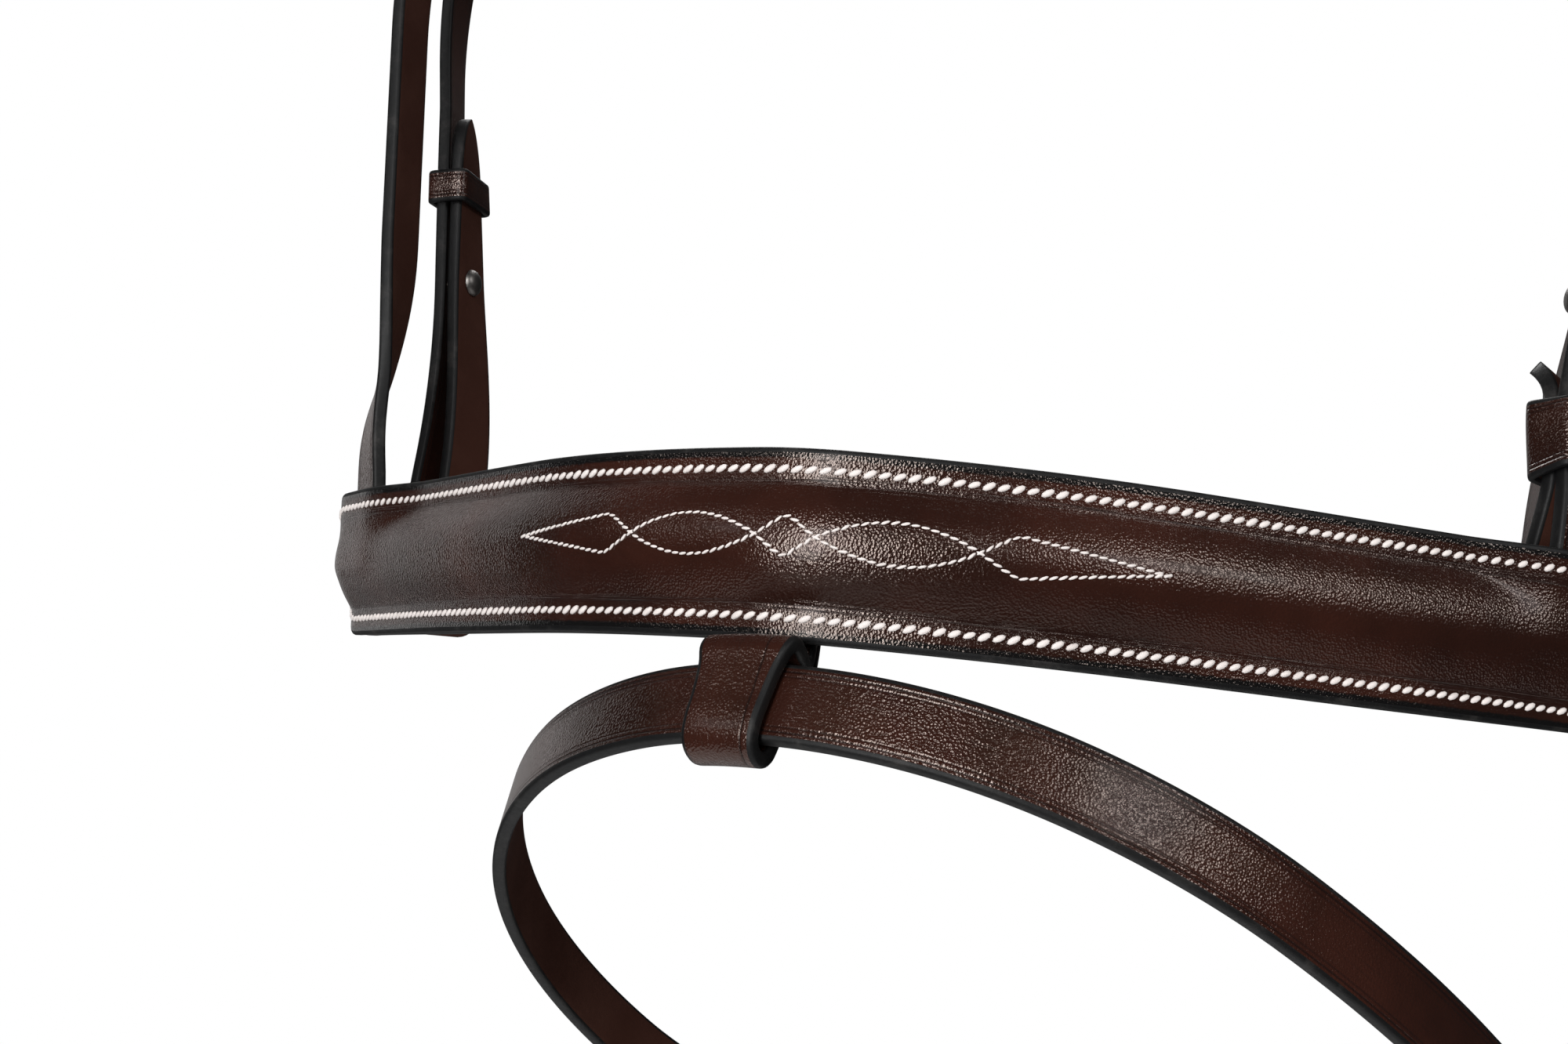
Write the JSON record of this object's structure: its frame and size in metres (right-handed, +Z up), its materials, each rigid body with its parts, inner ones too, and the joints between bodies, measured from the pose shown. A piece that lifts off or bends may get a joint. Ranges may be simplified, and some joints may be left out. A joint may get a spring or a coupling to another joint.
{
  "type": "flash noseband bridle",
  "caption": "English bridle with a raised stitched noseband, a flash strap through its front loop, padded crown, browband and throatlash; built of separate leather and steel pieces.",
  "frame": {"origin": "middle of the flat underside of the crown pad, where the bridle rests on the poll", "axes": "+Z up, -Y forward (the way the horse faces), +X towards the horse's near (left) side"},
  "size_m": [0.3026, 0.2281, 0.5662],
  "materials": {
    "bit_keeper_near": "waxed",
    "bit_keeper_off": "waxed",
    "bit_stud_near": "satin",
    "bit_stud_off": "satin",
    "browband_backing": "matt lining",
    "browband_face": "waxed",
    "browband_padding": "matt lining",
    "cheek_near_buckle_frame": "satin",
    "cheek_near_buckle_tongue": "satin",
    "cheek_near_fixed_keeper": "waxed",
    "cheek_near_running_keeper": "waxed",
    "cheek_off_buckle_frame": "satin",
    "cheek_off_buckle_tongue": "satin",
    "cheek_off_fixed_keeper": "waxed",
    "cheek_off_running_keeper": "waxed",
    "cheekpiece_near": "waxed",
    "cheekpiece_off": "waxed",
    "chin_buckle_frame": "satin",
    "chin_buckle_tongue": "satin",
    "chin_fixed_keeper": "waxed",
    "chin_running_keeper": "waxed",
    "crown_pad": "matt lining",
    "flash_buckle_frame": "satin",
    "flash_buckle_tongue": "satin",
    "flash_fixed_keeper": "waxed",
    "flash_loop": "waxed",
    "flash_running_keeper": "waxed",
    "flash_strap": "waxed",
    "hanger": "waxed",
    "hanger_keeper": "waxed",
    "headpiece": "waxed",
    "noseband_backing": "matt lining",
    "noseband_face": "waxed",
    "noseband_padding": "matt lining",
    "throat_near_buckle_frame": "satin",
    "throat_near_buckle_tongue": "satin",
    "throat_near_fixed_keeper": "waxed",
    "throat_near_running_keeper": "waxed",
    "throat_off_buckle_frame": "satin",
    "throat_off_buckle_tongue": "satin",
    "throat_off_fixed_keeper": "waxed",
    "throat_off_running_keeper": "waxed",
    "throatlash": "waxed"
  },
  "bodies": {
    "bridle": {"bit_keeper_near": "bit_keeper_near", "bit_keeper_off": "bit_keeper_off", "bit_stud_near": "bit_stud_near", "bit_stud_off": "bit_stud_off", "cheek_near_buckle_frame": "cheek_near_buckle_frame", "cheek_near_fixed_keeper": "cheek_near_fixed_keeper", "cheek_off_buckle_frame": "cheek_off_buckle_frame", "cheek_off_fixed_keeper": "cheek_off_fixed_keeper", "cheekpiece_near": "cheekpiece_near", "cheekpiece_off": "cheekpiece_off", "chin_buckle_frame": "chin_buckle_frame", "chin_fixed_keeper": "chin_fixed_keeper", "crown_pad": "crown_pad", "flash_loop": "flash_loop", "hanger": "hanger", "hanger_keeper": "hanger_keeper", "headpiece": "headpiece", "noseband_backing": "noseband_backing", "noseband_face": "noseband_face", "noseband_padding": "noseband_padding", "throat_near_buckle_frame": "throat_near_buckle_frame", "throat_near_fixed_keeper": "throat_near_fixed_keeper", "throat_off_buckle_frame": "throat_off_buckle_frame", "throat_off_fixed_keeper": "throat_off_fixed_keeper", "throatlash": "throatlash"},
    "browband": {"browband_backing": "browband_backing", "browband_face": "browband_face", "browband_padding": "browband_padding"},
    "cheek_near_keeper": {"cheek_near_running_keeper": "cheek_near_running_keeper"},
    "cheek_near_tongue": {"cheek_near_buckle_tongue": "cheek_near_buckle_tongue"},
    "cheek_off_keeper": {"cheek_off_running_keeper": "cheek_off_running_keeper"},
    "cheek_off_tongue": {"cheek_off_buckle_tongue": "cheek_off_buckle_tongue"},
    "chin_keeper": {"chin_running_keeper": "chin_running_keeper"},
    "chin_tongue": {"chin_buckle_tongue": "chin_buckle_tongue"},
    "flash": {"flash_strap": "flash_strap", "flash_buckle_frame": "flash_buckle_frame", "flash_fixed_keeper": "flash_fixed_keeper"},
    "flash_keeper": {"flash_running_keeper": "flash_running_keeper"},
    "flash_tongue": {"flash_buckle_tongue": "flash_buckle_tongue"},
    "throat_near_keeper": {"throat_near_running_keeper": "throat_near_running_keeper"},
    "throat_near_tongue": {"throat_near_buckle_tongue": "throat_near_buckle_tongue"},
    "throat_off_keeper": {"throat_off_running_keeper": "throat_off_running_keeper"},
    "throat_off_tongue": {"throat_off_buckle_tongue": "throat_off_buckle_tongue"}
  },
  "joints": [
    {"name": "browband_slide", "type": "slide", "parent": "bridle", "child": "browband", "axis": [0, 0, 1], "range_m": [-0.008, 0.004]},
    {"name": "flash_swing", "type": "hinge", "parent": "bridle", "child": "flash", "pos_m": [0.0009, -0.105, -0.4436], "axis": [0.974, -0.2232, 0.0395], "range_deg": [-5, 3]},
    {"name": "cheek_near_tongue_swing", "type": "hinge", "parent": "bridle", "child": "cheek_near_tongue", "pos_m": [0.1333, 0.0092, -0.158], "axis": [0, 0.9988, 0.0486], "range_deg": [0, 6]},
    {"name": "cheek_near_keeper_slide", "type": "slide", "parent": "bridle", "child": "cheek_near_keeper", "axis": [0, -0.0486, 0.9988], "range_m": [-0.002, 0.006]},
    {"name": "throat_near_tongue_swing", "type": "hinge", "parent": "bridle", "child": "throat_near_tongue", "pos_m": [0.1333, 0.03402, -0.158], "axis": [0, 0.9999, 0.0111], "range_deg": [0, 6]},
    {"name": "throat_near_keeper_slide", "type": "slide", "parent": "bridle", "child": "throat_near_keeper", "axis": [0.4009, -0.0899, 0.9117], "range_m": [-0.0005, 0.002]},
    {"name": "cheek_off_tongue_swing", "type": "hinge", "parent": "bridle", "child": "cheek_off_tongue", "pos_m": [-0.1333, 0.0092, -0.158], "axis": [0, -0.9988, -0.0486], "range_deg": [0, 6]},
    {"name": "cheek_off_keeper_slide", "type": "slide", "parent": "bridle", "child": "cheek_off_keeper", "axis": [0, -0.0486, 0.9988], "range_m": [-0.002, 0.006]},
    {"name": "throat_off_tongue_swing", "type": "hinge", "parent": "bridle", "child": "throat_off_tongue", "pos_m": [-0.1333, 0.03402, -0.158], "axis": [0, -0.9999, -0.0111], "range_deg": [0, 6]},
    {"name": "throat_off_keeper_slide", "type": "slide", "parent": "bridle", "child": "throat_off_keeper", "axis": [-0.4009, -0.0899, 0.9117], "range_m": [-0.0005, 0.002]},
    {"name": "chin_tongue_swing", "type": "hinge", "parent": "bridle", "child": "chin_tongue", "pos_m": [0.025, 0.10674, -0.399], "axis": [0, 0, 1], "range_deg": [0, 6]},
    {"name": "chin_keeper_slide", "type": "slide", "parent": "bridle", "child": "chin_keeper", "axis": [1, 0, 0], "range_m": [-0.002, 0.006]},
    {"name": "flash_tongue_swing", "type": "hinge", "parent": "flash", "child": "flash_tongue", "pos_m": [0.06198, 0.03882, -0.53898], "axis": [0.1163, 0.6419, 0.7579], "range_deg": [0, 6]},
    {"name": "flash_keeper_slide", "type": "slide", "parent": "flash", "child": "flash_keeper", "axis": [0.974, -0.2231, 0.0393], "range_m": [-0.002, 0.006]}
  ]
}
